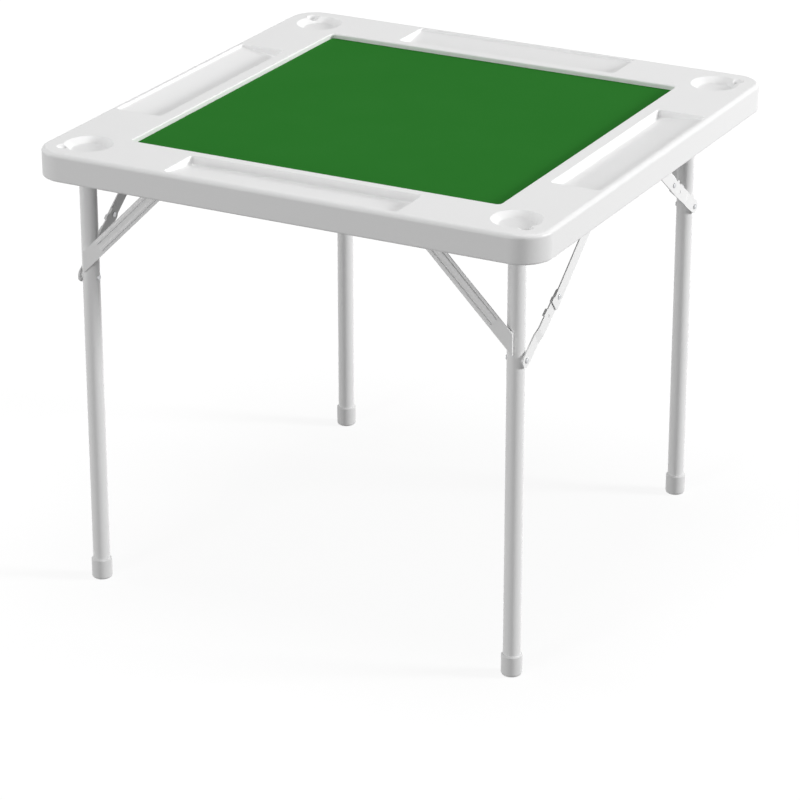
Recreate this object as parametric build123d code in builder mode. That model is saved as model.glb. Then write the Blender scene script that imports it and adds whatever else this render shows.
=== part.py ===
from build123d import *
import math
import os

os.makedirs("parts", exist_ok=True)

# Folding card table: a moulded top on two folding leg frames, held open by
# knee struts. Z is up, the floor is z = 0, and the front legs are at -Y.

# Moulded top
table_height = 750.0
top_side = 880.0
top_thickness = 47.0
top_corner_radius = 50.0
top_edge_radius = 7.0
rim_foot_radius = 4.0
rim_width = 36.0
rim_foot_width = 20.0
rim_step_height = 8.0
rim_step_angle = 30.0
well_corner_radius = 18.0
deck_thickness = 10.0

# Playing recess and the mat in it
recess_border_x = 117.5
recess_border_y = 112.0
recess_depth = 9.0
recess_corner_radius = 7.0
recess_edge_radius = 2.5
mat_thickness = 1.5
mat_gap = 1.0

# Chip trays, one along each side
tray_length = 403.0
tray_width = 83.0
tray_inset = 11.0
tray_deep = 14.0
tray_shallow = 4.0
tray_corner_radius = 6.0
tray_floor_radius = 3.0
tray_edge_radius = 2.0
tray_wall_angle = 18.0
tray_count = 4

# Cup rests, one in each corner
cup_diameter = 79.0
cup_floor_diameter = 56.0
cup_depth = 9.0
cup_floor_radius = 6.0
cup_edge_radius = 1.5
cup_inset = 67.5
lobe_diameter = 22.0
lobe_floor_diameter = 12.0
lobe_depth = 6.0
lobe_reach = 40.0
cup_count = 4

# Shallow pockets under the rim
pocket_length = 29.0
pocket_width = 15.5
pocket_depth = 4.0
pocket_inset = 10.8
pocket_angle = 15.0
pocket_pitch = 51.5
pockets_per_side = 14

# Leg frames
pivot_inset = 65.0
pivot_drop = 37.0
cross_tube_diameter = 25.0
cross_tube_wall = 1.2
cross_tube_end_gap = 2.0
leg_diameter = 28.0
leg_wall = 1.2
front_leg_inset = 64.7
back_leg_inset = 114.6

# Foot caps
foot_diameter = 33.5
foot_height = 36.0
foot_sole = 4.0
foot_top_chamfer = 2.0
foot_bottom_radius = 5.0

# Tube clips that hold the cross tubes to the deck
clip_inset_from_leg = 75.0
clip_width = 22.0
clip_metal = 2.0
clip_gap = 0.08
clip_foot_reach = 27.0
clip_screw_reach = 20.5
cradle_drop = 11.0
cradle_gap = 0.4

# Corner braces
brace_drop = 153.0
brace_width = 25.0
brace_metal = 1.6
brace_end = 16.5
brace_past_tube = 2.4
brace_rib_width = 4.4
brace_rib_height = 2.2
brace_rib_spread = 12.4
brace_rib_from_leg = 40.0
brace_rib_from_cross_tube = 25.0
brace_pad_length = 29.5
brace_pad_reach = 9.0
brace_cap_gap = 0.35
brace_rivet_head = 11.0
brace_rivet_dome = 2.4
brace_rivet_shank = 5.0

# Knee struts
strut_drop = 184.0
knee_out = 101.0
knee_up = 69.0
folded_knee_rise = 1.5
link_width = 23.0
link_metal = 2.0
link_gap = 0.3
link_step_start = 40.0
link_step_run = 14.0
link_dimple_diameter = 6.0
link_dimple_depth = 0.8
link_dimple_from_knee = 38.0
link_flange_from_knee = 34.0
link_flange_length = 13.0
link_flange_depth = 2.0
link_flange_metal = 1.8
upper_link_tail = 19.0
upper_link_tail_corner = 3.0
stop_tab_start = 10.5
stop_tab_side_gap = 1.5
stop_tab_metal = 1.8
pivot_pin_diameter = 6.0
pivot_pin_gap = 0.06
rivet_head_diameter = 8.6
rivet_head_height = 1.8
knee_tail_height = 1.2

# Saddle brackets on the legs
saddle_metal = 1.6
saddle_height = 28.0
saddle_end_height = 7.0
saddle_wrap = 2.0
saddle_bend_radius = 3.0

# Hangers under the deck for the upper links
hanger_width = 26.0
hanger_metal = 2.0
hanger_foot_length = 48.0
hanger_foot_width = 27.0
hanger_foot_corner = 4.0
hanger_round = 11.0
hanger_screw_spacing = 30.0
hanger_screw_inset = 16.0

# Screws with flush heads
screw_head_diameter = 7.6
screw_shank_diameter = 3.6
screw_length = 8.0
screw_head_height = 1.6
screw_slot_width = 1.0
screw_slot_length = 5.0
screw_slot_depth = 0.6

# One overrun for every through cut
overrun = 5.0

# Levels and lengths that follow from the sizes above
rim_z = table_height - top_thickness
well_depth = top_thickness - recess_depth - deck_thickness
well_side = top_side - 2 * rim_width
rim_step_side = top_side - 2 * rim_foot_width
recess_x = top_side - 2 * recess_border_x
recess_y = top_side - 2 * recess_border_y
deck_z = rim_z + well_depth
pivot_z = table_height - pivot_drop
pivot_y = top_side / 2 - pivot_inset
deck_over_pivot = deck_z - pivot_z
cross_tube_length = well_side - 2 * cross_tube_end_gap
cross_radius = cross_tube_diameter / 2
leg_radius = leg_diameter / 2
tray_centre = top_side / 2 - tray_inset - tray_width / 2
cup_centre = top_side / 2 - cup_inset

# The two rest shapes of a strut, in the plane across the pivot axis. The leg
# pivot of the strut lies strut_drop below the axis, and the knee closes both
# with the legs down and with the legs folded flat.
leg_pin = Vector(0, -strut_drop)
knee = Vector(knee_out, knee_up - strut_drop)
lower_length = math.hypot(knee_out, knee_up)
folded_knee = Vector(strut_drop - math.sqrt(lower_length**2 - folded_knee_rise**2), folded_knee_rise)
deck_pin_out = (folded_knee.X**2 + folded_knee.Y**2 - knee.X**2 - knee.Y**2) / (2 * (folded_knee.X - knee.X))
deck_pin = Vector(deck_pin_out, 0)
upper_length = math.hypot(knee.X - deck_pin.X, knee.Y - deck_pin.Y)

# Layers of a strut, counted outward from the axis of its leg
lower_in = leg_radius + saddle_metal + link_gap
lower_out = lower_in + link_metal + link_gap
upper_in = lower_out + link_metal + link_gap
hanger_in = upper_in - link_gap - hanger_metal


# Planes of the strut links and of the brace, for the right-hand side of a frame
lower_way = Vector(0, knee_out / lower_length, knee_up / lower_length)
upper_way = Vector(0, (knee.X - deck_pin.X) / upper_length, (knee.Y - deck_pin.Y) / upper_length)
lower_origin = (0, leg_pin.X, leg_pin.Y)
lower_plane = Plane(lower_origin, x_dir=lower_way, z_dir=(1, 0, 0))
lower_edge_plane = Plane(lower_origin, x_dir=lower_way, z_dir=(0, lower_way.Z, -lower_way.Y))
upper_plane = Plane((0, deck_pin.X, deck_pin.Y), x_dir=upper_way, z_dir=(1, 0, 0))
brace_length = brace_drop * math.sqrt(2)
brace_face = foot_diameter / 2 + brace_cap_gap
brace_plane = Plane((-brace_drop / 2, -brace_face, -brace_drop / 2), x_dir=(-1, 0, 1), z_dir=(0, -1, 0))
brace_rib_length = brace_length - brace_rib_from_leg - brace_rib_from_cross_tube
brace_rib_shift = (brace_rib_from_leg - brace_rib_from_cross_tube) / 2
brace_rivet_length = brace_face + brace_metal - cross_radius + 2 * cross_tube_wall
hanger_screw_x = hanger_in + hanger_metal - hanger_screw_inset

# Shares and angles
rivet_round_share = 0.6
brace_rib_angle = 20.0
rivet_round = rivet_head_height * rivet_round_share

# The two frames: which way each faces and how far apart its legs stand
frames = {"front": (1, top_side - 2 * front_leg_inset), "back": (-1, top_side - 2 * back_leg_inset)}
sides = {"left": -1, "right": 1}


def clip_screw_spots(facing, spacing):
    spots = []
    for side in sides.values():
        for shift in (clip_screw_reach, -clip_screw_reach):
            along = side * (spacing / 2 - clip_inset_from_leg)
            spots.append((along, -facing * pivot_y + shift, deck_z - clip_metal))
    return spots


def hanger_screw_spots(facing, spacing):
    spots = []
    for side in sides.values():
        for shift in (hanger_screw_spacing / 2, -hanger_screw_spacing / 2):
            along = side * (spacing / 2 + hanger_screw_x)
            spots.append((along, -facing * (pivot_y - deck_pin.X) + shift, deck_z - hanger_metal))
    return spots


def placed(piece, side, spacing, facing):
    # Right-hand piece, drawn from the leg axis, put on its side of its frame
    moved = piece.moved(Location((spacing / 2, 0, 0)))
    if side < 0:
        moved = mirror(moved, about=Plane.YZ)
    return moved.moved(Location((0, -facing * pivot_y, pivot_z), (0, 0, 90 - 90 * facing)))


def keep(piece, name):
    piece.label = name
    export_step(piece, "parts/" + name + ".step")


# Screw with a countersunk head, its head face at z = 0
with BuildPart() as screw_blank:
    with BuildSketch(Plane.XZ):
        with BuildLine():
            Polyline(
                (0, 0),
                (screw_head_diameter / 2, 0),
                (screw_shank_diameter / 2, screw_head_height),
                (screw_shank_diameter / 2, screw_length),
                (0, screw_length),
                close=True,
            )
        make_face()
    revolve(axis=Axis.Z)

with BuildPart() as screw:
    add(screw_blank.part)
    with BuildSketch(Plane.XY):
        Rectangle(screw_slot_length, screw_slot_width)
        Rectangle(screw_slot_width, screw_slot_length)
    extrude(amount=screw_slot_depth, mode=Mode.SUBTRACT)


# Moulded top: rounded slab with a well below, trays, cup rests and rim pockets
with BuildPart() as tray_hollow:
    with BuildSketch(Plane((0, 0, table_height), x_dir=(1, 0, 0), z_dir=(0, 0, -1))):
        with Locations((0, tray_centre)):
            RectangleRounded(tray_length, tray_width, tray_corner_radius)
    extrude(amount=tray_deep, taper=tray_wall_angle)
    with BuildSketch(Plane.YZ):
        with BuildLine():
            Polyline(
                (-tray_centre + tray_width / 2 + overrun, table_height + overrun),
                (-tray_centre + tray_width / 2 + overrun, table_height - tray_deep),
                (-tray_centre + tray_width / 2, table_height - tray_deep),
                (-tray_centre - tray_width / 2, table_height - tray_shallow),
                (-tray_centre - tray_width / 2 - overrun, table_height - tray_shallow),
                (-tray_centre - tray_width / 2 - overrun, table_height + overrun),
                close=True,
            )
        make_face()
    extrude(amount=tray_length / 2 + overrun, both=True, mode=Mode.INTERSECT)
    fillet(tray_hollow.faces().sort_by(Axis.Z)[0].edges(), tray_floor_radius)

with BuildPart() as cup_hollow:
    with BuildSketch(Plane.XZ):
        with BuildLine():
            Polyline(
                (0, table_height),
                (cup_diameter / 2, table_height),
                (cup_floor_diameter / 2, table_height - cup_depth),
                (0, table_height - cup_depth),
                close=True,
            )
        make_face()
    revolve(axis=Axis.Z)
    fillet(cup_hollow.faces().sort_by(Axis.Z)[0].edges(), cup_floor_radius)
    with BuildSketch(Plane.XZ.offset(-lobe_reach)):
        with BuildLine():
            Polyline(
                (0, table_height),
                (lobe_diameter / 2, table_height),
                (lobe_floor_diameter / 2, table_height - lobe_depth),
                (0, table_height - lobe_depth),
                close=True,
            )
        make_face()
    revolve(axis=Axis((0, lobe_reach, 0), (0, 0, 1)))

with BuildPart() as table_top:
    with BuildSketch(Plane.XY.offset(rim_z)):
        RectangleRounded(top_side, top_side, top_corner_radius)
    extrude(amount=top_thickness)
    fillet(table_top.faces().sort_by(Axis.Z)[-1].edges(), top_edge_radius)
    fillet(table_top.faces().sort_by(Axis.Z)[0].edges(), rim_foot_radius)
    with BuildSketch(Plane.XY.offset(rim_z)):
        RectangleRounded(rim_step_side, rim_step_side, top_corner_radius - rim_foot_width)
    extrude(amount=rim_step_height, taper=rim_step_angle, mode=Mode.SUBTRACT)
    with BuildSketch(Plane.XY.offset(rim_z)):
        RectangleRounded(well_side, well_side, well_corner_radius)
    extrude(amount=well_depth, mode=Mode.SUBTRACT)
    # Playing recess
    with BuildSketch(Plane.XY.offset(table_height - recess_depth)):
        RectangleRounded(recess_x, recess_y, recess_corner_radius)
    extrude(amount=recess_depth, mode=Mode.SUBTRACT)
    fillet(table_top.faces().sort_by(Axis.Z)[-1].inner_wires()[0].edges(), recess_edge_radius)
    # Chip trays
    with PolarLocations(0, tray_count):
        add(tray_hollow.part, mode=Mode.SUBTRACT)
    for wire in table_top.faces().sort_by(Axis.Z)[-1].inner_wires():
        if wire.bounding_box().size.X < recess_x:
            fillet(wire.edges(), tray_edge_radius)
    # Cup rests, each with its lobe toward the corner
    for turn in range(cup_count):
        heading = 45 + turn * 360 / cup_count
        reach = cup_centre * math.sqrt(2)
        spot = (reach * math.cos(math.radians(heading)), reach * math.sin(math.radians(heading)))
        with Locations(Location((spot[0], spot[1], 0), (0, 0, heading - 90))):
            add(cup_hollow.part, mode=Mode.SUBTRACT)
    for wire in table_top.faces().sort_by(Axis.Z)[-1].inner_wires():
        if wire.bounding_box().size.X < 2 * cup_diameter and wire.bounding_box().size.Y < 2 * cup_diameter:
            fillet(wire.edges(), cup_edge_radius)
    # Pockets under the rim
    with BuildSketch(Plane.XY.offset(rim_z)):
        with PolarLocations(0, tray_count):
            with Locations((0, top_side / 2 - pocket_inset)):
                with GridLocations(pocket_pitch, pocket_pitch, pockets_per_side, 1):
                    Rectangle(pocket_length, pocket_width)
    extrude(amount=pocket_depth, taper=pocket_angle, mode=Mode.SUBTRACT)
    # Cradles that the cross tubes turn in
    for facing, spacing in frames.values():
        with BuildSketch(Plane.XY.offset(deck_z - cradle_drop)):
            with Locations((0, -facing * pivot_y)):
                with GridLocations(spacing - 2 * clip_inset_from_leg, clip_width, 2, 1):
                    Rectangle(clip_width, cross_tube_diameter - 2 * cradle_gap)
        extrude(amount=cradle_drop)
        with Locations(Location((0, -facing * pivot_y, pivot_z), (0, 90, 0))):
            Cylinder(cross_radius + clip_gap, well_side, mode=Mode.SUBTRACT)
    # Screw holes up into the deck
    for facing, spacing in frames.values():
        with Locations(*(clip_screw_spots(facing, spacing) + hanger_screw_spots(facing, spacing))):
            add(screw_blank.part, mode=Mode.SUBTRACT)

keep(table_top.part, "table_top")

# Playing mat, laid loose in the recess
with BuildPart() as playing_mat:
    with BuildSketch(Plane.XY.offset(table_height - recess_depth)):
        RectangleRounded(recess_x - 2 * mat_gap, recess_y - 2 * mat_gap, recess_corner_radius - mat_gap)
    extrude(amount=mat_thickness)

keep(playing_mat.part, "playing_mat")


# Pieces of one leg frame, right-hand side, drawn about the pivot axis
def make_leg():
    with BuildPart() as leg:
        with BuildSketch(Plane.XY.offset(foot_sole - pivot_z)):
            Circle(leg_radius)
        extrude(amount=pivot_z - foot_sole + leg_radius)
        # Top end wrapped round the cross tube
        with BuildSketch(Plane.YZ):
            Circle(leg_radius)
            with Locations((0, -pivot_z / 2)):
                Rectangle(leg_diameter, pivot_z)
        extrude(amount=leg_diameter, both=True, mode=Mode.INTERSECT)
        with Locations(Location((0, 0, 0), (0, 90, 0))):
            Cylinder(cross_radius, leg_diameter + overrun, mode=Mode.SUBTRACT)
        # Bore of the tube
        with BuildSketch(Plane.XY.offset(foot_sole - pivot_z)):
            Circle(leg_radius - leg_wall)
        extrude(amount=pivot_z - foot_sole, mode=Mode.SUBTRACT)
        # Holes for the strut rivet
        with Locations(Location((0, 0, -strut_drop), (0, 90, 0))):
            Cylinder(pivot_pin_diameter / 2, leg_diameter + overrun, mode=Mode.SUBTRACT)
    return leg.part


def make_foot_cap():
    with BuildPart() as cap:
        with BuildSketch(Plane.XY.offset(-pivot_z)):
            Circle(foot_diameter / 2)
        extrude(amount=foot_height)
        fillet(cap.faces().sort_by(Axis.Z)[0].edges(), foot_bottom_radius)
        chamfer(cap.faces().sort_by(Axis.Z)[-1].edges(), foot_top_chamfer)
        with BuildSketch(Plane.XY.offset(foot_sole - pivot_z)):
            Circle(leg_radius)
        extrude(amount=foot_height, mode=Mode.SUBTRACT)
    return cap.part


def make_brace():
    with BuildPart() as brace:
        with BuildSketch(brace_plane):
            Rectangle(brace_length + 2 * brace_end, brace_width)
        extrude(amount=brace_metal)
        # Two long ribs
        with BuildSketch(brace_plane.offset(brace_metal)):
            with Locations((brace_rib_shift, 0)):
                with GridLocations(brace_width, brace_rib_spread, 1, 2):
                    SlotOverall(brace_rib_length, brace_rib_width)
        extrude(amount=brace_rib_height, taper=brace_rib_angle)
        # Ends formed inward to hug the leg and the cross tube
        with BuildSketch(brace_plane):
            Rectangle(brace_length + 2 * brace_end, brace_width)
            Rectangle(brace_length + 2 * brace_end - 2 * brace_pad_length, brace_width, mode=Mode.SUBTRACT)
        extrude(amount=-brace_pad_reach)
        with Locations(Location((0, 0, -brace_drop), (0, 0, 0))):
            Cylinder(leg_radius, brace_drop, mode=Mode.SUBTRACT)
        with Locations(Location((-brace_drop, 0, 0), (0, 90, 0))):
            Cylinder(cross_radius, brace_drop, mode=Mode.SUBTRACT)
        # Ends cut off along the leg and along the cross tube, just past their middles
        with BuildSketch(Plane.XZ):
            with Locations((brace_past_tube - brace_length, brace_past_tube - brace_length)):
                Rectangle(2 * brace_length, 2 * brace_length)
        extrude(amount=foot_diameter, both=True, mode=Mode.INTERSECT)
        # Hole for the rivet through the cross tube
        with BuildSketch(brace_plane.offset(-brace_pad_reach - overrun)):
            with Locations((brace_length / 2, 0)):
                Circle(brace_rivet_shank / 2)
        extrude(amount=brace_pad_reach + brace_metal + 2 * overrun, mode=Mode.SUBTRACT)
    return brace.part


def make_brace_rivets():
    with BuildPart() as rivets:
        with BuildSketch(brace_plane.offset(brace_metal)):
            with Locations((brace_length / 2, 0)):
                Circle(brace_rivet_head / 2)
        extrude(amount=brace_rivet_dome)
        fillet(rivets.faces().sort_by(Axis.Y)[0].edges(), brace_rivet_dome * rivet_round_share)
        with BuildSketch(brace_plane.offset(brace_metal)):
            with Locations((brace_length / 2, 0)):
                Circle(brace_rivet_shank / 2)
        extrude(amount=-brace_rivet_length)
    return rivets.part


def make_saddle():
    half_height = saddle_height / 2
    with BuildPart() as saddle:
        # U of sheet metal whose flat side walls lie against the tube
        with BuildSketch(Plane.XY.offset(-strut_drop - half_height)):
            with Locations(((leg_radius + saddle_metal - saddle_wrap) / 2, 0)):
                Rectangle(leg_radius + saddle_metal + saddle_wrap, leg_diameter + 2 * saddle_metal)
            with Locations(((leg_radius - saddle_wrap) / 2, 0)):
                Rectangle(leg_radius + saddle_wrap, leg_diameter, mode=Mode.SUBTRACT)
        extrude(amount=saddle_height)
        fillet(saddle.edges().filter_by(Axis.Z).sort_by(Axis.X)[-2:], saddle_bend_radius)
        # Side walls that taper downward to their ends
        with BuildSketch(Plane.XZ):
            with BuildLine():
                Polyline(
                    (leg_diameter, half_height - strut_drop),
                    (leg_radius, half_height - strut_drop),
                    (-saddle_wrap, saddle_end_height - half_height - strut_drop),
                    (-saddle_wrap, -half_height - strut_drop),
                    (leg_diameter, -half_height - strut_drop),
                    close=True,
                )
            make_face()
        extrude(amount=leg_diameter, both=True, mode=Mode.INTERSECT)
        with Locations(Location((leg_radius, 0, -strut_drop), (0, 90, 0))):
            Cylinder(pivot_pin_diameter / 2, leg_radius, mode=Mode.SUBTRACT)
    return saddle.part


def make_strut_rivet():
    head_seat = lower_in + link_metal + link_gap
    with BuildPart() as rivet:
        with BuildSketch(Plane.YZ.offset(-leg_radius - rivet_head_height)):
            with Locations((0, -strut_drop)):
                Circle(rivet_head_diameter / 2)
        extrude(amount=rivet_head_height)
        with BuildSketch(Plane.YZ.offset(head_seat)):
            with Locations((0, -strut_drop)):
                Circle(rivet_head_diameter / 2)
        extrude(amount=rivet_head_height)
        fillet(rivet.faces().sort_by(Axis.X)[-1].edges(), rivet_round)
        fillet(rivet.faces().sort_by(Axis.X)[0].edges(), rivet_round)
        with BuildSketch(Plane.YZ.offset(-leg_radius)):
            with Locations((0, -strut_drop)):
                Circle(pivot_pin_diameter / 2)
        extrude(amount=leg_radius + head_seat)
    return rivet.part


def make_lower_link():
    flange_centre = lower_length - link_flange_from_knee - link_flange_length / 2
    with BuildPart() as link:
        # Side profile with the step that carries the knee end outward
        with BuildSketch(lower_edge_plane):
            with BuildLine():
                Polyline(
                    (-link_width / 2, lower_in),
                    (link_step_start, lower_in),
                    (link_step_start + link_step_run, lower_out),
                    (lower_length + link_width / 2, lower_out),
                    (lower_length + link_width / 2, lower_out + link_metal),
                    (link_step_start + link_step_run, lower_out + link_metal),
                    (link_step_start, lower_in + link_metal),
                    (-link_width / 2, lower_in + link_metal),
                    close=True,
                )
            make_face()
        extrude(amount=link_width / 2, both=True)
        with BuildSketch(lower_plane):
            with Locations((lower_length / 2, 0)):
                SlotCenterToCenter(lower_length, link_width)
        extrude(amount=hanger_in + overrun, both=True, mode=Mode.INTERSECT)
        with BuildSketch(lower_plane):
            Circle(pivot_pin_diameter / 2 + pivot_pin_gap)
            with Locations((lower_length, 0)):
                Circle(pivot_pin_diameter / 2)
        extrude(amount=upper_in, mode=Mode.SUBTRACT)
        with BuildSketch(lower_plane.offset(lower_out + link_metal)):
            with Locations((lower_length - link_dimple_from_knee, 0)):
                Circle(link_dimple_diameter / 2)
        extrude(amount=-link_dimple_depth, mode=Mode.SUBTRACT)
        # Short flange turned inward along the upper edge
        with BuildSketch(lower_plane.offset(lower_out - link_flange_depth)):
            with Locations((flange_centre, (link_width + link_flange_metal) / 2)):
                Rectangle(link_flange_length, link_flange_metal)
        extrude(amount=link_flange_depth + link_metal)
    return link.part


def make_knee_tail():
    with BuildPart() as tail:
        with BuildSketch(Plane.YZ.offset(lower_out - knee_tail_height)):
            with Locations((knee.X, knee.Y)):
                Circle(rivet_head_diameter / 2)
        extrude(amount=knee_tail_height)
        with BuildSketch(Plane.YZ.offset(lower_out)):
            with Locations((knee.X, knee.Y)):
                Circle(pivot_pin_diameter / 2)
        extrude(amount=link_metal)
    return tail.part


def make_upper_link():
    half_width = link_width / 2
    tab_in = half_width + stop_tab_side_gap
    tab_centre = upper_length + (stop_tab_start + upper_link_tail) / 2
    with BuildPart() as link:
        with BuildSketch(upper_plane.offset(upper_in)):
            Circle(half_width)
            with BuildLine():
                Polyline(
                    (0, -half_width),
                    (upper_length + stop_tab_start, -half_width),
                    (upper_length + stop_tab_start, -tab_in),
                    (upper_length + upper_link_tail, -tab_in),
                    (upper_length + upper_link_tail, half_width - upper_link_tail_corner),
                    (upper_length + upper_link_tail - upper_link_tail_corner, half_width),
                    (0, half_width),
                    close=True,
                )
            make_face()
        extrude(amount=link_metal)
        with BuildSketch(upper_plane.offset(lower_out)):
            with Locations((tab_centre, -tab_in - stop_tab_metal / 2)):
                Rectangle(upper_link_tail - stop_tab_start, stop_tab_metal)
        extrude(amount=upper_in + link_metal - lower_out)
        with BuildSketch(upper_plane.offset(upper_in)):
            Circle(pivot_pin_diameter / 2 + pivot_pin_gap)
            with Locations((upper_length, 0)):
                Circle(pivot_pin_diameter / 2)
        extrude(amount=link_metal, mode=Mode.SUBTRACT)
    return link.part


def make_knee_rivet():
    with BuildPart() as rivet:
        with BuildSketch(Plane.YZ.offset(upper_in + link_metal)):
            with Locations((knee.X, knee.Y)):
                Circle(rivet_head_diameter / 2)
        extrude(amount=rivet_head_height)
        fillet(rivet.faces().sort_by(Axis.X)[-1].edges(), rivet_round)
        with BuildSketch(Plane.YZ.offset(upper_in)):
            with Locations((knee.X, knee.Y)):
                Circle(pivot_pin_diameter / 2)
        extrude(amount=link_metal)
    return rivet.part


def make_hanger():
    foot_in = hanger_in + hanger_metal - hanger_foot_width
    with BuildPart() as hanger:
        with BuildSketch(Plane.YZ.offset(hanger_in)):
            with Locations((deck_pin.X, 0)):
                Circle(hanger_round)
            with Locations((deck_pin.X, deck_over_pivot - hanger_metal / 2)):
                Rectangle(hanger_width, hanger_metal)
            make_hull()
        extrude(amount=hanger_metal)
        with BuildSketch(Plane.XY.offset(deck_over_pivot - hanger_metal)):
            with Locations((foot_in + hanger_foot_width / 2, deck_pin.X)):
                RectangleRounded(hanger_foot_width, hanger_foot_length, hanger_foot_corner)
        extrude(amount=hanger_metal)
        with BuildSketch(Plane.YZ.offset(hanger_in)):
            with Locations((deck_pin.X, 0)):
                Circle(pivot_pin_diameter / 2)
        extrude(amount=hanger_metal, mode=Mode.SUBTRACT)
        with Locations((hanger_screw_x, deck_pin.X, deck_over_pivot - hanger_metal)):
            with GridLocations(hanger_foot_width, hanger_screw_spacing, 1, 2):
                add(screw_blank.part, mode=Mode.SUBTRACT)
    return hanger.part


def make_hanger_pin():
    with BuildPart() as pin:
        with BuildSketch(Plane.YZ.offset(hanger_in - rivet_head_height)):
            with Locations((deck_pin.X, 0)):
                Circle(rivet_head_diameter / 2)
        extrude(amount=rivet_head_height)
        with BuildSketch(Plane.YZ.offset(upper_in + link_metal + link_gap)):
            with Locations((deck_pin.X, 0)):
                Circle(rivet_head_diameter / 2)
        extrude(amount=rivet_head_height)
        fillet(pin.faces().sort_by(Axis.X)[-1].edges(), rivet_round)
        with BuildSketch(Plane.YZ.offset(hanger_in)):
            with Locations((deck_pin.X, 0)):
                Circle(pivot_pin_diameter / 2)
        extrude(amount=upper_in + link_metal + link_gap - hanger_in)
    return pin.part


def make_clip():
    strap_radius = cross_radius + clip_gap
    with BuildPart() as clip:
        with BuildSketch(Plane.YZ.offset(-clip_inset_from_leg - clip_width / 2)):
            Circle(strap_radius + clip_metal)
            with Locations((0, deck_over_pivot / 2)):
                Rectangle(2 * (strap_radius + clip_metal), deck_over_pivot)
            with Locations((0, deck_over_pivot - clip_metal / 2)):
                Rectangle(2 * clip_foot_reach, clip_metal)
            with Locations((0, deck_over_pivot + clip_foot_reach)):
                Rectangle(2 * clip_foot_reach, 2 * clip_foot_reach, mode=Mode.SUBTRACT)
            Circle(strap_radius, mode=Mode.SUBTRACT)
            with Locations((0, deck_over_pivot / 2)):
                Rectangle(2 * strap_radius, deck_over_pivot, mode=Mode.SUBTRACT)
        extrude(amount=clip_width)
        with Locations((-clip_inset_from_leg, 0, deck_over_pivot - clip_metal)):
            with GridLocations(clip_width, 2 * clip_screw_reach, 1, 2):
                add(screw_blank.part, mode=Mode.SUBTRACT)
    return clip.part


pieces = {
    "leg": make_leg,
    "foot_cap": make_foot_cap,
    "brace": make_brace,
    "strut_bracket": make_saddle,
    "strut_rivet": make_strut_rivet,
    "lower_link": make_lower_link,
    "knee_rivet_tail": make_knee_tail,
    "upper_link": make_upper_link,
    "knee_rivet": make_knee_rivet,
    "hanger": make_hanger,
    "tube_clip": make_clip,
}

for frame_name, (facing, spacing) in frames.items():
    # Cross tube with holes for the brace rivets
    with BuildPart() as cross_tube:
        with BuildSketch(Plane.YZ.offset(-cross_tube_length / 2)):
            with Locations((-facing * pivot_y, pivot_z)):
                Circle(cross_radius)
                Circle(cross_radius - cross_tube_wall, mode=Mode.SUBTRACT)
        extrude(amount=cross_tube_length)
        with Locations((0, -facing * (pivot_y + cross_radius), pivot_z)):
            with GridLocations(spacing - 2 * brace_drop, cross_radius, 2, 1):
                Cylinder(brace_rivet_shank / 2, cross_radius, rotation=(90, 0, 0), mode=Mode.SUBTRACT)
    keep(cross_tube.part, frame_name + "_cross_tube")
    for side_name, side in sides.items():
        stem = frame_name + "_" + side_name + "_"
        for piece_name, make_piece in pieces.items():
            keep(placed(make_piece(), side, spacing, facing), stem + piece_name)
    # Small fixings, kept in groups
    rivets = [placed(make_brace_rivets(), side, spacing, facing) for side in sides.values()]
    keep(Compound(rivets), frame_name + "_brace_rivets")
    pins = [placed(make_hanger_pin(), side, spacing, facing) for side in sides.values()]
    keep(Compound(pins), frame_name + "_hanger_pins")
    clip_screws = [screw.part.moved(Location(spot)) for spot in clip_screw_spots(facing, spacing)]
    keep(Compound(clip_screws), frame_name + "_clip_screws")
    hanger_screws = [screw.part.moved(Location(spot)) for spot in hanger_screw_spots(facing, spacing)]
    keep(Compound(hanger_screws), frame_name + "_hanger_screws")
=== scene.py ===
import math

import bmesh
import bpy
from bpy.props import FloatProperty, FloatVectorProperty, IntProperty, PointerProperty
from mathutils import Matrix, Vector


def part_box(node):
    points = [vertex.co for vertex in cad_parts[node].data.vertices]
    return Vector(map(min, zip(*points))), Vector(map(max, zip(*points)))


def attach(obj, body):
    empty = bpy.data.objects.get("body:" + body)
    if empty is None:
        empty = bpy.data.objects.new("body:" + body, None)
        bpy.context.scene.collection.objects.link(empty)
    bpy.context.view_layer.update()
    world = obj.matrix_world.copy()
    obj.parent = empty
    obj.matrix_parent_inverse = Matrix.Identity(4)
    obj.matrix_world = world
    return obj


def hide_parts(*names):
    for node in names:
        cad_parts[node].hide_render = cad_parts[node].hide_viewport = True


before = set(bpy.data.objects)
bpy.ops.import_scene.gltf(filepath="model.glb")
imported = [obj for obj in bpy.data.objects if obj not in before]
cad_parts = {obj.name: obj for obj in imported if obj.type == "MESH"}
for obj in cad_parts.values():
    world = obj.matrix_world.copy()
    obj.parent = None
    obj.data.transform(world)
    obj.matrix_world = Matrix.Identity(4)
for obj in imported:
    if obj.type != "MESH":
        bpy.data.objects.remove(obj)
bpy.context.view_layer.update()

bl_info = {
    "name": "Folding Card Table",
    "version": (1, 0, 0),
    "blender": (4, 5, 0),
    "location": "View3D > Sidebar > Card Table",
    "description": "Dresses a folding card table with a moulded top and tube legs",
    "category": "Object",
}

MM = 0.001


# Colours and shader nodes

def shown(hex_colour):
    """sRGB values of a hex colour, as a colour setting holds them."""
    return tuple(int(hex_colour[start:start + 2], 16) / 255 for start in (1, 3, 5))


def linear(hex_colour):
    """Turns an sRGB hex colour into linear RGBA."""
    values = [c / 12.92 if c <= 0.04045 else ((c + 0.055) / 1.055) ** 2.4
              for c in shown(hex_colour)]
    return (*values, 1.0)


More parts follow.
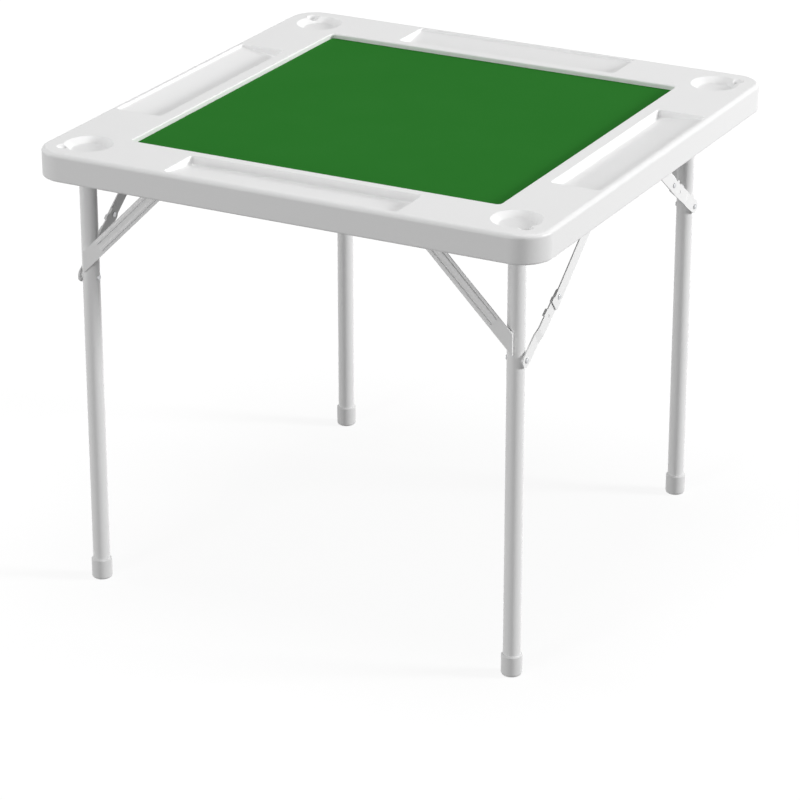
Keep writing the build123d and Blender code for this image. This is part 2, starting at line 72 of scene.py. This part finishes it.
def add_node(tree, kind, inputs=None, **settings):
    """Adds a node, sets its properties, and links or sets its inputs by name."""
    node = tree.nodes.new(kind)
    for key, value in settings.items():
        setattr(node, key, value)
    for key, value in (inputs or {}).items():
        socket = node.inputs[key]
        if isinstance(value, bpy.types.NodeSocket):
            tree.links.new(value, socket)
        else:
            socket.default_value = value
    return node


def new_material(name):
    """An empty node material with its output node."""
    material = bpy.data.materials.new(name)
    material.use_nodes = True
    material.node_tree.nodes.clear()
    output = add_node(material.node_tree, "ShaderNodeOutputMaterial")
    return material, material.node_tree, output


def grain(tree, coordinates, size_mm, detail):
    """Noise whose grains are about size_mm across."""
    noise = add_node(tree, "ShaderNodeTexNoise",
                     {"Vector": coordinates, "Scale": 1 / (size_mm * MM), "Detail": detail})
    return noise.outputs["Fac"]


# Nearly all values of a noise lie between these two
NOISE_LOW, NOISE_HIGH = 0.3, 0.7


def spread(tree, value, low, high):
    """Maps the values of a noise onto a range."""
    node = add_node(tree, "ShaderNodeMapRange",
                    {"Value": value, "From Min": NOISE_LOW, "From Max": NOISE_HIGH,
                     "To Min": low, "To Max": high})
    return node.outputs["Result"]


def bumps(tree, height, depth_mm, strength):
    """A normal that a noise of the given depth disturbs."""
    node = add_node(tree, "ShaderNodeBump",
                    {"Strength": strength, "Distance": depth_mm * MM, "Height": height})
    return node.outputs["Normal"]


def moulded_satin_plastic(name, colour, roughness):
    """White plastic, blow-moulded for the top and injection-moulded for the feet.

    A satin skin whose faint grain breaks up the highlights.
    """
    material, tree, output = new_material(name)
    place = add_node(tree, "ShaderNodeTexCoord").outputs["Object"]
    rough = spread(tree, grain(tree, place, 60.0, 1.0), roughness - 0.03, roughness + 0.03)
    shader = add_node(tree, "ShaderNodeBsdfPrincipled",
                      {"Base Color": linear(colour), "Roughness": rough, "IOR": 1.46,
                       "Normal": bumps(tree, grain(tree, place, 0.9, 3.0), 0.05, 0.05)})
    tree.links.new(shader.outputs["BSDF"], output.inputs["Surface"])
    return material


def powder_coated_steel(name, colour):
    """White powder coat baked on steel: an even half-gloss skin with a very shallow orange peel."""
    material, tree, output = new_material(name)
    place = add_node(tree, "ShaderNodeTexCoord").outputs["Object"]
    rough = spread(tree, grain(tree, place, 40.0, 1.0), 0.20, 0.24)
    shader = add_node(tree, "ShaderNodeBsdfPrincipled",
                      {"Base Color": linear(colour), "Roughness": rough, "IOR": 1.5,
                       "Normal": bumps(tree, grain(tree, place, 2.0, 1.0), 0.04, 0.04)})
    tree.links.new(shader.outputs["BSDF"], output.inputs["Surface"])
    return material


def zinc_plated_steel(name, colour):
    """Zinc plating left as it comes from the bath: pale silver heads with a soft, uneven sheen."""
    material, tree, output = new_material(name)
    place = add_node(tree, "ShaderNodeTexCoord").outputs["Object"]
    rough = spread(tree, grain(tree, place, 2.0, 2.0), 0.44, 0.54)
    shader = add_node(tree, "ShaderNodeBsdfPrincipled",
                      {"Base Color": linear(colour), "Metallic": 1.0, "Roughness": rough})
    tree.links.new(shader.outputs["BSDF"], output.inputs["Surface"])
    return material


def green_playing_mat(name, colour, shade):
    """Flocked green mat: short even fibres that mute the light, with hardly any gloss."""
    material, tree, output = new_material(name)
    place = add_node(tree, "ShaderNodeTexCoord").outputs["Object"]
    fibre = grain(tree, place, 0.5, 4.0)
    cloud = grain(tree, place, 90.0, 2.0)
    mix = add_node(tree, "ShaderNodeMix", data_type="RGBA")
    tree.links.new(spread(tree, fibre, 0.0, 1.0), mix.inputs["Factor"])
    mix.inputs["A"].default_value = linear(colour)
    mix.inputs["B"].default_value = linear(shade)
    rough = spread(tree, cloud, 0.80, 0.90)
    shader = add_node(tree, "ShaderNodeBsdfPrincipled",
                      {"Base Color": mix.outputs["Result"], "Roughness": rough,
                       "Specular IOR Level": 0.02, "Normal": bumps(tree, fibre, 0.10, 0.15)})
    tree.links.new(shader.outputs["BSDF"], output.inputs["Surface"])
    return material


def hex_of(colour):
    """The sRGB hex text of a colour setting, which holds sRGB values."""
    return "#" + "".join("%02X" % round(255 * value) for value in colour)


def material_named(name, maker, *values):
    """The material of that name, made on first use."""
    return bpy.data.materials.get(name) or maker(name, *values)


def finishes():
    """The colour settings."""
    return bpy.context.scene.cardtable_finish


# Middle roughness of the top and of the smoother foot caps
TOP_ROUGHNESS, FOOT_ROUGHNESS = 0.42, 0.36


def white_plastic():
    return material_named("blow_moulded_white_plastic", moulded_satin_plastic,
                          hex_of(finishes().top_colour), TOP_ROUGHNESS)


def foot_plastic():
    return material_named("injection_moulded_foot_plastic", moulded_satin_plastic,
                          hex_of(finishes().foot_colour), FOOT_ROUGHNESS)


def white_steel():
    return material_named("white_powder_coated_steel", powder_coated_steel,
                          hex_of(finishes().steel_colour))


def plated_steel():
    return material_named("zinc_plated_steel", zinc_plated_steel, hex_of(finishes().plating_colour))


def green_mat():
    return material_named("green_flocked_mat", green_playing_mat,
                          hex_of(finishes().mat_colour), hex_of(finishes().mat_shade))


# Mesh helpers

# Points closer than this are one point, and edges shorter than this are dropped
WELD_GAP, SHORTEST_EDGE = 0.002 * MM, 0.001 * MM
# Faces that turn by less than this, in degrees, are one flat face
FLAT_TURN = 0.2
# Faces that turn by more than this, in degrees, meet at a sharp edge
TOP_SHARP_TURN = 32
SHARP_TURN = 40


def show(mesh, name, body, material, slot, *replaced):
    """Puts a finished mesh in the scene as a piece of the table."""
    mesh.materials.clear()
    mesh.materials.append(material)
    piece = bpy.data.objects.new(name, mesh)
    bpy.context.scene.collection.objects.link(piece)
    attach(piece, body)
    if replaced:
        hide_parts(*replaced)
    return piece


def merged_copy(node):
    """A copy of a frame node's mesh with its loose triangles joined."""
    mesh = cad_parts[node].data.copy()
    work = bmesh.new()
    work.from_mesh(mesh)
    bmesh.ops.remove_doubles(work, verts=work.verts, dist=WELD_GAP)
    bmesh.ops.dissolve_degenerate(work, edges=work.edges, dist=SHORTEST_EDGE)
    bmesh.ops.dissolve_limit(work, angle_limit=math.radians(FLAT_TURN),
                             verts=work.verts, edges=work.edges)
    work.to_mesh(mesh)
    work.free()
    return mesh


def soften(mesh, degrees):
    """Smooth shading with sharp edges where faces turn by more than the angle."""
    mesh.shade_smooth()
    mesh.set_sharp_from_angle(angle=math.radians(degrees))


def flat_faces_kept(mesh):
    """Vertex normals that follow the largest faces, so that flats shade flat beside fillets."""
    worker = bpy.data.objects.new("normals_worker", mesh)
    bpy.context.scene.collection.objects.link(worker)
    weighted = worker.modifiers.new("Normals", "WEIGHTED_NORMAL")
    weighted.mode = "FACE_AREA"
    weighted.keep_sharp = True
    graph = bpy.context.evaluated_depsgraph_get()
    done = bpy.data.meshes.new_from_object(worker.evaluated_get(graph), depsgraph=graph)
    bpy.data.objects.remove(worker)
    return done


def paint_nodes(names, material):
    """Gives frame nodes their finished material."""
    for name in names:
        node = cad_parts[name]
        node.data.materials.clear()
        node.data.materials.append(material)


# Geometry nodes: hollows pressed into the underside

# Defaults of the group's sizes, in metres, and of its counts
DIMPLE_SIZES = (
    ("Deck Height", 0.731), ("Dimple Length", 0.022), ("Dimple Width", 0.011),
    ("Dimple Depth", 0.003), ("Pitch Along", 0.070), ("Pitch Across", 0.035),
    ("Dot Diameter", 0.008), ("Dot Pitch", 0.064), ("Dot Reach", 0.334),
    ("Small Dot Diameter", 0.005), ("Small Dot Pitch", 0.0365), ("Small Dot Reach", 0.3995),
    ("Side Dot Reach", 0.3985), ("Shelf Height", 0.711), ("Shelf Dot Diameter", 0.003),
    ("Shelf Dot Pitch", 0.028), ("Shelf Dot Reach", 0.4085))
DIMPLE_COUNTS = (
    ("Along Count", 9), ("Across Count", 17), ("Dot Count", 9), ("Small Dot Count", 21),
    ("Side Dot Count", 11), ("Shelf Dot Count", 28))
# A ball of the height below, sunk by a quarter of it, cuts in by the depth and is as wide as asked
# where it leaves the plastic
BALL_SUNK = -0.25
BALL_HEIGHT = 1.333
BALL_RADIUS = 0.516


def dimple_group():
    """Cuts staggered oval dimples, round dots and shelf dots up into an underside."""
    tree = bpy.data.node_groups.new("Underside Hollows", "GeometryNodeTree")
    face = tree.interface
    face.new_socket("Geometry", in_out="INPUT", socket_type="NodeSocketGeometry")
    for label, value in DIMPLE_SIZES:
        socket = face.new_socket(label, in_out="INPUT", socket_type="NodeSocketFloat")
        socket.default_value = value
    for label, value in DIMPLE_COUNTS:
        socket = face.new_socket(label, in_out="INPUT", socket_type="NodeSocketInt")
        socket.default_value = value
    face.new_socket("Material", in_out="INPUT", socket_type="NodeSocketMaterial")
    face.new_socket("Geometry", in_out="OUTPUT", socket_type="NodeSocketGeometry")
    given = add_node(tree, "NodeGroupInput").outputs
    output = add_node(tree, "NodeGroupOutput")

    def maths(operation, a, b):
        return add_node(tree, "ShaderNodeMath", {0: a, 1: b}, operation=operation).outputs[0]

    def vector(x, y, z):
        return add_node(tree, "ShaderNodeCombineXYZ", {"X": x, "Y": y, "Z": z}).outputs[0]

    def joined(parts):
        node = add_node(tree, "GeometryNodeJoinGeometry")
        for part in parts:
            tree.links.new(part, node.inputs[0])
        return node.outputs[0]

    def moved(geometry, **settings):
        return add_node(tree, "GeometryNodeTransform",
                        {"Geometry": geometry, **settings}).outputs[0]

    def grid(count_x, count_y, size_x, size_y):
        return add_node(tree, "GeometryNodeMeshGrid",
                        {"Size X": size_x, "Size Y": size_y, "Vertices X": count_x,
                         "Vertices Y": count_y}).outputs["Mesh"]

    def run_of(count, pitch):
        return maths("MULTIPLY", maths("SUBTRACT", count, 1.0), pitch)

    def two_rows(count, pitch, reach):
        return grid(count, 2, run_of(count, pitch), maths("MULTIPLY", reach, 2.0))

    def two_columns(count, pitch, reach):
        return grid(2, count, maths("MULTIPLY", reach, 2.0), run_of(count, pitch))

    def bowl(width, length, segments):
        ball = add_node(tree, "GeometryNodeMeshUVSphere",
                        {"Segments": segments, "Rings": 6, "Radius": 1.0})
        half_width = maths("MULTIPLY", width, BALL_RADIUS)
        half_length = maths("MULTIPLY", length, BALL_RADIUS)
        height = maths("MULTIPLY", given["Dimple Depth"], BALL_HEIGHT)
        scaled = moved(ball.outputs["Mesh"], Scale=vector(half_width, half_length, height))
        return moved(scaled, Translation=vector(0.0, 0.0, maths("MULTIPLY", height, BALL_SUNK)))

    def shallow_bowl(width):
        return moved(bowl(width, width, 10), Scale=vector(1.0, 1.0, 0.5))

    def placed_on(points, shape):
        return add_node(tree, "GeometryNodeInstanceOnPoints",
                        {"Points": points, "Instance": shape}).outputs[0]

    # Two staggered grids of ovals, centred as a whole
    quarter_x = maths("MULTIPLY", given["Pitch Across"], 0.25)
    quarter_y = maths("MULTIPLY", given["Pitch Along"], 0.25)
    field = grid(given["Across Count"], given["Along Count"],
                 run_of(given["Across Count"], given["Pitch Across"]),
                 run_of(given["Along Count"], given["Pitch Along"]))
    back_shift = vector(maths("MULTIPLY", quarter_x, -1.0), maths("MULTIPLY", quarter_y, -1.0),
                        0.0)
    staggered = joined([moved(field, Translation=vector(quarter_x, quarter_y, 0.0)),
                        moved(field, Translation=back_shift)])
    ovals = placed_on(staggered, bowl(given["Dimple Width"], given["Dimple Length"], 14))
    # Round dots in rows and columns beside the ovals
    dots = placed_on(two_rows(given["Dot Count"], given["Dot Pitch"], given["Dot Reach"]),
                     bowl(given["Dot Diameter"], given["Dot Diameter"], 12))
    small = joined([two_rows(given["Small Dot Count"], given["Small Dot Pitch"],
                             given["Small Dot Reach"]),
                    two_columns(given["Side Dot Count"], given["Dot Pitch"],
                                given["Side Dot Reach"])])
    small_dots = placed_on(small, shallow_bowl(given["Small Dot Diameter"]))
    on_deck = moved(joined([ovals, dots, small_dots]),
                    Translation=vector(0.0, 0.0, given["Deck Height"]))
    # Dots on the shelf round the well
    shelf = joined([two_rows(given["Shelf Dot Count"], given["Shelf Dot Pitch"],
                             given["Shelf Dot Reach"]),
                    two_columns(given["Shelf Dot Count"], given["Shelf Dot Pitch"],
                                given["Shelf Dot Reach"])])
    shelf_dots = placed_on(shelf, shallow_bowl(given["Shelf Dot Diameter"]))
    on_shelf = moved(shelf_dots, Translation=vector(0.0, 0.0, given["Shelf Height"]))
    cutters = add_node(tree, "GeometryNodeRealizeInstances",
                       {"Geometry": joined([on_deck, on_shelf])})
    cut = add_node(tree, "GeometryNodeMeshBoolean", operation="DIFFERENCE", solver="EXACT")
    tree.links.new(given["Geometry"], cut.inputs["Mesh 1"])
    tree.links.new(cutters.outputs[0], cut.inputs["Mesh 2"])
    whole = add_node(tree, "GeometryNodeRealizeInstances", {"Geometry": cut.outputs["Mesh"]})
    painted = add_node(tree, "GeometryNodeSetMaterial",
                       {"Geometry": whole.outputs[0], "Material": given["Material"]})
    tree.links.new(painted.outputs[0], output.inputs[0])
    return tree


def run_group(mesh, tree, values):
    """Runs a node group on a mesh and gives back the finished mesh."""
    worker = bpy.data.objects.new("group_worker", mesh)
    bpy.context.scene.collection.objects.link(worker)
    modifier = worker.modifiers.new("Shape", "NODES")
    modifier.node_group = tree
    for item in tree.interface.items_tree:
        if item.item_type == "SOCKET" and item.in_out == "INPUT" and item.name in values:
            modifier[item.identifier] = values[item.name]
    graph = bpy.context.evaluated_depsgraph_get()
    done = bpy.data.meshes.new_from_object(worker.evaluated_get(graph), depsgraph=graph)
    worker.modifiers.remove(modifier)
    bpy.data.objects.remove(worker)
    return done


# Settings

class TopSettings(bpy.types.PropertyGroup):
    dimple_length: FloatProperty(
        name="Dimple Length", description="Length of an oval dimple in the underside",
        default=0.022, min=0.004, unit="LENGTH")
    dimple_width: FloatProperty(
        name="Dimple Width", description="Width of an oval dimple in the underside",
        default=0.011, min=0.002, unit="LENGTH")
    dimple_depth: FloatProperty(
        name="Dimple Depth", description="How far a dimple goes up into the deck",
        default=0.003, min=0.0005, unit="LENGTH")
    dot_diameter: FloatProperty(
        name="Dot Diameter", description="Diameter of a round dot beside the dimples",
        default=0.008, min=0.001, unit="LENGTH")


class WasherSettings(bpy.types.PropertyGroup):
    diameter: FloatProperty(
        name="Diameter", description="Diameter of a saddle washer between leg and strut",
        default=0.013, min=0.008, max=0.026, unit="LENGTH")
    bore: FloatProperty(
        name="Bore", description="Diameter of the hole for the strut rivet",
        default=0.0064, min=0.002, unit="LENGTH")
    soft_edge: FloatProperty(
        name="Soft Edge", description="Rounding of the rim of its flat face",
        default=0.0006, min=0.0001, unit="LENGTH")


class FinishSettings(bpy.types.PropertyGroup):
    top_colour: FloatVectorProperty(
        name="Top Colour", description="Colour of the moulded top",
        default=shown("#EDEDED"), min=0, max=1, size=3, subtype="COLOR_GAMMA")
    steel_colour: FloatVectorProperty(
        name="Steel Colour", description="Colour of the powder coat on tubes, braces and struts",
        default=shown("#F3F3F3"), min=0, max=1, size=3, subtype="COLOR_GAMMA")
    foot_colour: FloatVectorProperty(
        name="Foot Colour", description="Colour of the foot caps",
        default=shown("#EBEBEB"), min=0, max=1, size=3, subtype="COLOR_GAMMA")
    plating_colour: FloatVectorProperty(
        name="Plating Colour", description="Colour of the plating on rivets and screws",
        default=shown("#BEBFC1"), min=0, max=1, size=3, subtype="COLOR_GAMMA")
    mat_colour: FloatVectorProperty(
        name="Mat Colour", description="Lighter green of the playing mat",
        default=shown("#2D792C"), min=0, max=1, size=3, subtype="COLOR_GAMMA")
    mat_shade: FloatVectorProperty(
        name="Mat Shade", description="Darker green between the fibres of the mat",
        default=shown("#2A7229"), min=0, max=1, size=3, subtype="COLOR_GAMMA")


class MatSettings(bpy.types.PropertyGroup):
    width: FloatProperty(
        name="Width", description="Width of the mat, along X", default=0.643, min=0.1,
        unit="LENGTH")
    length: FloatProperty(
        name="Length", description="Length of the mat, along Y", default=0.654, min=0.1,
        unit="LENGTH")
    thickness: FloatProperty(
        name="Thickness", description="Thickness of the mat", default=0.0015, min=0.0005,
        unit="LENGTH")
    corner: FloatProperty(
        name="Corner Radius", description="Radius of the mat's corners",
        default=0.006, min=0.001, unit="LENGTH")
    corner_steps: IntProperty(
        name="Corner Steps", description="Edges round each corner", default=8, min=2)


class StageSettings(bpy.types.PropertyGroup):
    azimuth: FloatProperty(
        name="Azimuth", description="Way the camera looks, from the front",
        default=math.radians(27.746), subtype="ANGLE")
    elevation: FloatProperty(
        name="Elevation", description="Height of the camera over the horizon",
        default=math.radians(22.772), subtype="ANGLE")
    distance: FloatProperty(
        name="Distance", description="Camera to the point it looks at",
        default=5.696, min=0.5, unit="LENGTH")
    lens: FloatProperty(
        name="Lens", description="Focal length on a 36 mm sensor, in millimetres",
        default=155.17, min=10)
    sky: FloatProperty(
        name="Sky", description="Strength of the even light from all round",
        default=0.2, min=0)
    key: FloatProperty(
        name="Key Lamp", description="Power of the low lamp on the right, in watts",
        default=825, min=0)
    front: FloatProperty(
        name="Front Lamp", description="Power of the soft lamp in front, in watts",
        default=182, min=0)
    left: FloatProperty(
        name="Left Lamp", description="Power of the soft lamp on the left, in watts",
        default=114, min=0)
    top: FloatProperty(
        name="Top Lamp", description="Power of the soft lamp overhead, in watts",
        default=84, min=0)


# One operator for each piece or group of like pieces

# Height of the shelf round the well over the lowest edge of the rim
SHELF_RISE = 8 * MM
# Rounding of the mat's upper edge, as a share of its thickness
MAT_EDGE_SHARE = 0.35
# Points round a washer
WASHER_STEPS = 32


class CARDTABLE_OT_moulded_top(bpy.types.Operator):
    """Build the moulded top with the dimples of its underside"""
    bl_idname = "cardtable.moulded_top"
    bl_label = "Moulded Top"

    def execute(self, context):
        settings = context.scene.cardtable_top
        values = {
            "Dimple Length": settings.dimple_length,
            "Dimple Width": settings.dimple_width,
            "Dimple Depth": settings.dimple_depth,
            "Dot Diameter": settings.dot_diameter,
            "Deck Height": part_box("front_left_hanger")[1][2],
            "Shelf Height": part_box("table_top")[0][2] + SHELF_RISE,
            "Material": white_plastic(),
        }
        mesh = run_group(merged_copy("table_top"), dimple_group(), values)
        soften(mesh, TOP_SHARP_TURN)
        mesh = flat_faces_kept(mesh)
        show(mesh, "moulded_top", "top", white_plastic(), "moulded_plastic", "table_top")
        return {"FINISHED"}


class CARDTABLE_OT_playing_mat(bpy.types.Operator):
    """Lay the green playing mat in the recess"""
    bl_idname = "cardtable.playing_mat"
    bl_label = "Playing Mat"

    def execute(self, context):
        settings = context.scene.cardtable_mat
        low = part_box("playing_mat")[0]
        half_x, half_y = settings.width / 2, settings.length / 2
        outline = []
        for sx, sy, start in ((1, 1, 0), (-1, 1, 90), (-1, -1, 180), (1, -1, 270)):
            centre = Vector((sx * (half_x - settings.corner), sy * (half_y - settings.corner),
                             low[2]))
            for step in range(settings.corner_steps + 1):
                turn = math.radians(start + 90 * step / settings.corner_steps)
                outward = Vector((math.cos(turn), math.sin(turn), 0))
                outline.append(centre + settings.corner * outward)
        work = bmesh.new()
        base = work.faces.new([work.verts.new(point) for point in outline])
        lifted = bmesh.ops.extrude_face_region(work, geom=[base])
        top_verts = [g for g in lifted["geom"] if isinstance(g, bmesh.types.BMVert)]
        bmesh.ops.translate(work, verts=top_verts, vec=(0, 0, settings.thickness))
        bmesh.ops.recalc_face_normals(work, faces=work.faces)
        upper = max(work.faces, key=lambda f: f.calc_center_median().z)
        bmesh.ops.bevel(work, geom=list(upper.edges), offset=MAT_EDGE_SHARE * settings.thickness,
                        segments=2, affect="EDGES")
        mesh = bpy.data.meshes.new("playing_mat_sheet")
        work.to_mesh(mesh)
        work.free()
        soften(mesh, SHARP_TURN)
        mat = show(mesh, "mat_sheet", "top", green_mat(), "green_mat", "playing_mat")
        return {"FINISHED"}


class CARDTABLE_OT_saddle_washers(bpy.types.Operator):
    """Build the washers that seat the struts on the round legs"""
    bl_idname = "cardtable.saddle_washers"
    bl_label = "Saddle Washers"

    def washer(self, settings, stem, side):
        """A thick ring, hollowed on one side to fit the tube and flat on the side of the strut."""
        leg_low, leg_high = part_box(stem + "_leg")
        seat_low, seat_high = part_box(stem + "_strut_bracket")
        leg_x, leg_y = (leg_low[0] + leg_high[0]) / 2, (leg_low[1] + leg_high[1]) / 2
        tube_radius = (leg_high[0] - leg_low[0]) / 2
        flat = (seat_high[0] - leg_x) if side > 0 else (leg_x - seat_low[0])
        pin_height = (seat_low[2] + seat_high[2]) / 2
        radius, bore = settings.diameter / 2, settings.bore / 2
        soft = settings.soft_edge
        # Rings of points from the tube's skin at the bore, over the rim, to the flat face at the
        # bore, each with its distance from the leg's axis, or None where it lies on the tube
        profile = [(bore + (radius - bore) * share, None) for share in (0.0, 0.5, 1.0)]
        profile += [(radius, flat - soft), (radius - soft / 3, flat - soft / 3),
                    (radius - soft, flat), (bore, flat)]
        work = bmesh.new()
        rings = []
        for r, out in profile:
            ring = []
            for step in range(WASHER_STEPS):
                turn = 2 * math.pi * step / WASHER_STEPS
                y = r * math.cos(turn)
                x = math.sqrt(tube_radius ** 2 - y ** 2) if out is None else out
                point = (leg_x + side * x, leg_y + y, pin_height + r * math.sin(turn))
                ring.append(work.verts.new(point))
            rings.append(ring)
        for ring, following in zip(rings, rings[1:] + rings[:1]):
            for step in range(WASHER_STEPS):
                after = (step + 1) % WASHER_STEPS
                work.faces.new((ring[step], ring[after], following[after], following[step]))
        bmesh.ops.recalc_face_normals(work, faces=work.faces)
        mesh = bpy.data.meshes.new(stem + "_saddle_washer")
        work.to_mesh(mesh)
        work.free()
        soften(mesh, SHARP_TURN)
        return mesh

    def execute(self, context):
        settings = context.scene.cardtable_washer
        for frame_name in ("front", "back"):
            for side_name, side in (("left", -1), ("right", 1)):
                stem = frame_name + "_" + side_name
                show(self.washer(settings, stem, side), stem + "_saddle_washer",
                     frame_name + "_legs", white_steel(), "white_coated_steel",
                     stem + "_strut_bracket")
        return {"FINISHED"}


class CARDTABLE_OT_steel_parts(bpy.types.Operator):
    """Coat the tubes, braces, struts, hangers and clips, and plate the rivets, pins and screws"""
    bl_idname = "cardtable.steel_parts"
    bl_label = "Steel Parts"

    def execute(self, context):
        coated, plated, feet = [], [], []
        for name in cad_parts:
            if name.endswith("foot_cap"):
                feet.append(name)
            elif "rivet" in name or "screws" in name or "pins" in name:
                plated.append(name)
            elif name not in ("table_top", "playing_mat"):
                coated.append(name)
        paint_nodes(coated, white_steel())
        paint_nodes(plated, plated_steel())
        paint_nodes(feet, foot_plastic())
        return {"FINISHED"}


# Half of the floor's side, and the tone with which it takes the lamps
FLOOR_REACH = 30.0
FLOOR_TONE = 0.16
# White that a view shows of the floor: its strength under the table and further out, and the two
# distances from the middle, in metres, between which it rises
GLOW_UNDER_TABLE, GLOW_FAR_OUT = 0.88, 1.0
GLOW_START, GLOW_END = 1.0, 3.5
# Each lamp's name, place, diameter and the setting with its power; all aim at one point
LAMP_AIM = Vector((0, 0, 0.5))
LAMPS = (
    ("low_key_from_the_right", (9.06, 3.66, 3.15), 2.6, "key"),
    ("front_fill", (-1.4, -7.75, 1.62), 2.4, "front"),
    ("left_fill", (-7.57, -2.27, 1.62), 4.0, "left"),
    ("overhead_lamp", (0, 0, 5.0), 2.5, "top"))
# Point that the camera looks at, the width of its sensor in millimetres, and how far it sees
CAMERA_AIM = Vector((0.0036, -0.0411, 0.2650))
SENSOR_WIDTH = 36
SIGHT = 100


class CARDTABLE_OT_stage(bpy.types.Operator):
    """Set up the floor, the lamps and the camera"""
    bl_idname = "cardtable.stage"
    bl_label = "Stage"

    def lamp(self, name, place, size, power):
        data = bpy.data.lights.new(name, "AREA")
        data.shape = "DISK"
        data.size = size
        data.energy = power
        lamp = bpy.data.objects.new(name, data)
        lamp.visible_camera = False
        lamp.location = place
        lamp.rotation_euler = (LAMP_AIM - Vector(place)).to_track_quat("-Z", "Y").to_euler()
        bpy.context.scene.collection.objects.link(lamp)

    def seen_rays(self, tree, unseen, seen):
        """One value for light on the object, another for what a view or a reflection shows."""
        path = add_node(tree, "ShaderNodeLightPath").outputs
        mirrors = add_node(tree, "ShaderNodeMath",
                           {0: path["Is Glossy Ray"], 1: path["Is Transmission Ray"]},
                           operation="MAXIMUM")
        shown_ray = add_node(tree, "ShaderNodeMath",
                             {0: path["Is Camera Ray"], 1: mirrors.outputs[0]},
                             operation="MAXIMUM")
        value = add_node(tree, "ShaderNodeMapRange",
                         {"Value": shown_ray.outputs[0], "To Min": unseen, "To Max": seen})
        return value.outputs["Result"]

    def floor(self, scene):
        """A wide matt floor that takes the shadow and shows white to a view."""
        mesh = bpy.data.meshes.new("studio_floor")
        corners = [(x * FLOOR_REACH, y * FLOOR_REACH, 0)
                   for x, y in ((-1, -1), (1, -1), (1, 1), (-1, 1))]
        mesh.from_pydata(corners, [], [(0, 1, 2, 3)])
        floor = bpy.data.objects.new("studio_floor", mesh)
        scene.collection.objects.link(floor)
        material, tree, output = new_material("matt_white_floor")
        diffuse = add_node(tree, "ShaderNodeBsdfDiffuse",
                           {"Color": (FLOOR_TONE, FLOOR_TONE, FLOOR_TONE, 1.0)})
        place = add_node(tree, "ShaderNodeTexCoord").outputs["Object"]
        away = add_node(tree, "ShaderNodeVectorMath", {0: place}, operation="LENGTH")
        glow_seen = add_node(tree, "ShaderNodeMapRange",
                             {"Value": away.outputs["Value"], "From Min": GLOW_START,
                              "From Max": GLOW_END, "To Min": GLOW_UNDER_TABLE,
                              "To Max": GLOW_FAR_OUT})
        glow = add_node(tree, "ShaderNodeEmission",
                        {"Strength": self.seen_rays(tree, 0.0, glow_seen.outputs["Result"])})
        both = add_node(tree, "ShaderNodeAddShader", {0: diffuse.outputs[0], 1: glow.outputs[0]})
        tree.links.new(both.outputs[0], output.inputs["Surface"])
        mesh.materials.append(material)

    def world(self, scene, strength):
        """Even light of the given strength from a world that shows white to a view."""
        world = bpy.data.worlds.new("white_studio")
        scene.world = world
        world.use_nodes = True
        tree = world.node_tree
        tree.nodes.clear()
        out = add_node(tree, "ShaderNodeOutputWorld")
        sky = add_node(tree, "ShaderNodeBackground",
                       {"Color": linear("#FFFFFF"),
                        "Strength": self.seen_rays(tree, strength, 1.0)})
        tree.links.new(sky.outputs[0], out.inputs["Surface"])

    def camera(self, scene, settings):
        """A camera at the photo's viewing angle."""
        data = bpy.data.cameras.new("camera")
        camera = bpy.data.objects.new("camera", data)
        scene.collection.objects.link(camera)
        turn, rise = settings.azimuth, settings.elevation
        back = Vector((math.sin(turn) * math.cos(rise), -math.cos(turn) * math.cos(rise),
                       math.sin(rise)))
        camera.location = CAMERA_AIM + back * settings.distance
        camera.rotation_euler = (-back).to_track_quat("-Z", "Y").to_euler()
        data.sensor_width = SENSOR_WIDTH
        data.lens = settings.lens
        data.clip_end = SIGHT
        scene.camera = camera

    def execute(self, context):
        scene = context.scene
        settings = scene.cardtable_stage
        self.floor(scene)
        self.world(scene, settings.sky)
        for name, place, size, power in LAMPS:
            self.lamp(name, place, size, getattr(settings, power))
        self.camera(scene, settings)
        scene.view_settings.view_transform = "Standard"
        return {"FINISHED"}


class CARDTABLE_PT_panel(bpy.types.Panel):
    """Card table steps and settings"""
    bl_idname = "CARDTABLE_PT_panel"
    bl_label = "Card Table"
    bl_space_type = "VIEW_3D"
    bl_region_type = "UI"
    bl_category = "Card Table"

    def draw(self, context):
        layout = self.layout
        for group in SETTINGS:
            settings = getattr(context.scene, group)
            box = layout.box()
            for prop in settings.bl_rna.properties:
                if prop.identifier not in ("rna_type", "name"):
                    box.prop(settings, prop.identifier)
        for operator in OPERATORS:
            layout.operator(operator.bl_idname)


SETTINGS = {"cardtable_top": TopSettings, "cardtable_mat": MatSettings,
            "cardtable_washer": WasherSettings, "cardtable_finish": FinishSettings,
            "cardtable_stage": StageSettings}
OPERATORS = (CARDTABLE_OT_moulded_top, CARDTABLE_OT_playing_mat, CARDTABLE_OT_saddle_washers,
             CARDTABLE_OT_steel_parts, CARDTABLE_OT_stage)
CLASSES = (*SETTINGS.values(), *OPERATORS, CARDTABLE_PT_panel)


def register():
    for item in CLASSES:
        bpy.utils.register_class(item)
    for name, group in SETTINGS.items():
        setattr(bpy.types.Scene, name, PointerProperty(type=group))


def unregister():
    for name in SETTINGS:
        delattr(bpy.types.Scene, name)
    for item in reversed(CLASSES):
        bpy.utils.unregister_class(item)


def main():
    register()
    bpy.ops.cardtable.moulded_top()
    bpy.ops.cardtable.playing_mat()
    bpy.ops.cardtable.saddle_washers()
    bpy.ops.cardtable.steel_parts()
    bpy.ops.cardtable.stage()


if __name__ == "__main__":
    main()
